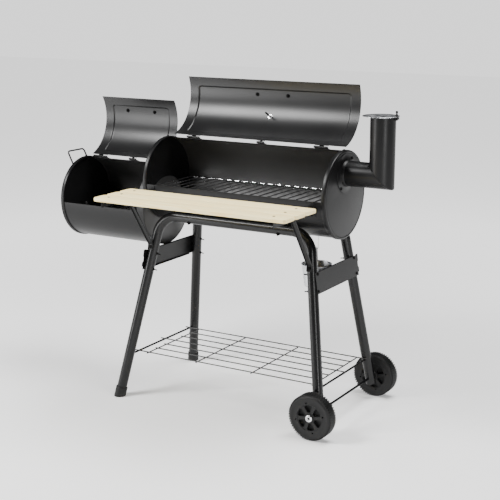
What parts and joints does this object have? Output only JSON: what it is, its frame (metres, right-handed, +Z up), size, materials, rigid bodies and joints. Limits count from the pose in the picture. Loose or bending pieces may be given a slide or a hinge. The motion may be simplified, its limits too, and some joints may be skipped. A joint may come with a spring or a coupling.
{
  "type": "offset smoker",
  "caption": "Offset barrel smoker: lidded cooking chamber with a side firebox, elbow chimney, front wooden shelf, grease bucket and a wheeled tube stand.",
  "frame": {"origin": "on the floor, under the middle of the overall length and depth with both lids open", "axes": "+X along the barrels from the firebox to the chimney, -Y towards the shelf and the user, +Z up"},
  "size_m": [1.2652, 0.664, 1.0763],
  "materials": {
    "black_paint": "satin black heat-resistant paint on sheet steel",
    "gloss_black_paint": "gloss black paint on steel tube and wire",
    "black_plastic": "matt black moulded plastic",
    "zinc_steel": "zinc plated steel",
    "chrome_wire": "chrome plated steel",
    "pine": "pale sanded softwood",
    "dial_steel": "brushed steel dial case",
    "galvanised_steel": "bright galvanised sheet"
  },
  "bodies": {
    "stand_and_barrels": {"air_vent_rivet": "zinc_steel", "axle": "gloss_black_paint", "bottom_rack": "gloss_black_paint", "bucket_hook": "zinc_steel", "carry_handle": "gloss_black_paint", "charcoal_grate": "zinc_steel", "chimney_collar": "black_paint", "chimney_pipe": "black_paint", "cooking_grate": "chrome_wire", "firebox_barrel": "black_paint", "firebox_cap_inner": "black_paint", "firebox_cap_left": "black_paint", "firebox_hinge_left_fixed_leaf": "black_paint", "firebox_hinge_right_fixed_leaf": "black_paint", "foot_front": "black_plastic", "foot_rear": "black_plastic", "hub_cap_front": "chrome_wire", "hub_cap_rear": "chrome_wire", "leg_front_left": "gloss_black_paint", "leg_front_right": "gloss_black_paint", "leg_rear_left": "gloss_black_paint", "leg_rear_right": "gloss_black_paint", "main_barrel": "black_paint", "main_cap_left": "black_paint", "main_cap_right": "black_paint", "main_hinge_left_fixed_leaf": "black_paint", "main_hinge_middle_fixed_leaf": "black_paint", "main_hinge_right_fixed_leaf": "black_paint", "rack_rod_left": "gloss_black_paint", "rack_rod_right": "gloss_black_paint", "shelf_arm_left": "black_paint", "shelf_arm_right": "black_paint", "shelf_slat_front": "pine", "shelf_slat_middle": "pine", "shelf_slat_rear": "pine", "shelf_strut_left": "black_paint", "shelf_strut_right": "black_paint", "side_brace_left": "black_paint", "side_brace_right": "black_paint"},
    "main_lid": {"main_lid": "black_paint", "main_hinge_left_lid_leaf": "black_paint", "main_hinge_middle_lid_leaf": "black_paint", "main_hinge_right_lid_leaf": "black_paint", "main_handle_grip": "black_plastic", "main_handle_post_left": "zinc_steel", "main_handle_post_right": "zinc_steel", "thermometer": "dial_steel"},
    "firebox_lid": {"firebox_lid": "black_paint", "firebox_hinge_left_lid_leaf": "black_paint", "firebox_hinge_right_lid_leaf": "black_paint", "firebox_handle": "black_plastic"},
    "wheel_front": {"wheel_front": "black_plastic"},
    "wheel_rear": {"wheel_rear": "black_plastic"},
    "chimney_damper": {"chimney_damper": "galvanised_steel", "damper_knob": "black_plastic"},
    "air_vent": {"air_vent_damper": "black_paint"},
    "bail": {"bucket_bail": "zinc_steel"},
    "bucket": {"grease_bucket": "galvanised_steel"}
  },
  "joints": [
    {"name": "main_lid_hinge", "type": "hinge", "parent": "stand_and_barrels", "child": "main_lid", "pos_m": [0.11425, 0.09555, 0.88039], "axis": [1, 0, 0], "range_deg": [0, 158]},
    {"name": "firebox_lid_hinge", "type": "hinge", "parent": "stand_and_barrels", "child": "firebox_lid", "pos_m": [-0.4641, 0.09555, 0.78439], "axis": [1, 0, 0], "range_deg": [0, 150]},
    {"name": "wheel_front_spin", "type": "hinge", "parent": "stand_and_barrels", "child": "wheel_front", "pos_m": [0.47225, -0.16355, 0.0745], "axis": [0, 1, 0], "continuous": true},
    {"name": "wheel_rear_spin", "type": "hinge", "parent": "stand_and_barrels", "child": "wheel_rear", "pos_m": [0.47225, 0.30545, 0.0745], "axis": [0, 1, 0], "continuous": true},
    {"name": "chimney_damper_swivel", "type": "hinge", "parent": "stand_and_barrels", "child": "chimney_damper", "pos_m": [0.62675, 0.07095, 0.9943], "axis": [0, 0, 1], "range_deg": [0, 150]},
    {"name": "air_vent_swivel", "type": "hinge", "parent": "stand_and_barrels", "child": "air_vent", "pos_m": [-0.58975, 0.07095, 0.612], "axis": [1, 0, 0], "range_deg": [0, 45]},
    {"name": "bail_swing", "type": "hinge", "parent": "stand_and_barrels", "child": "bail", "pos_m": [0.35925, 0.07095, 0.5551], "axis": [0.512, -0.859, 0], "range_deg": [-12, 12]},
    {"name": "bucket_tilt", "type": "hinge", "parent": "bail", "child": "bucket", "pos_m": [0.35925, 0.07095, 0.494], "axis": [0.512, -0.859, 0], "range_deg": [-10, 10]}
  ]
}
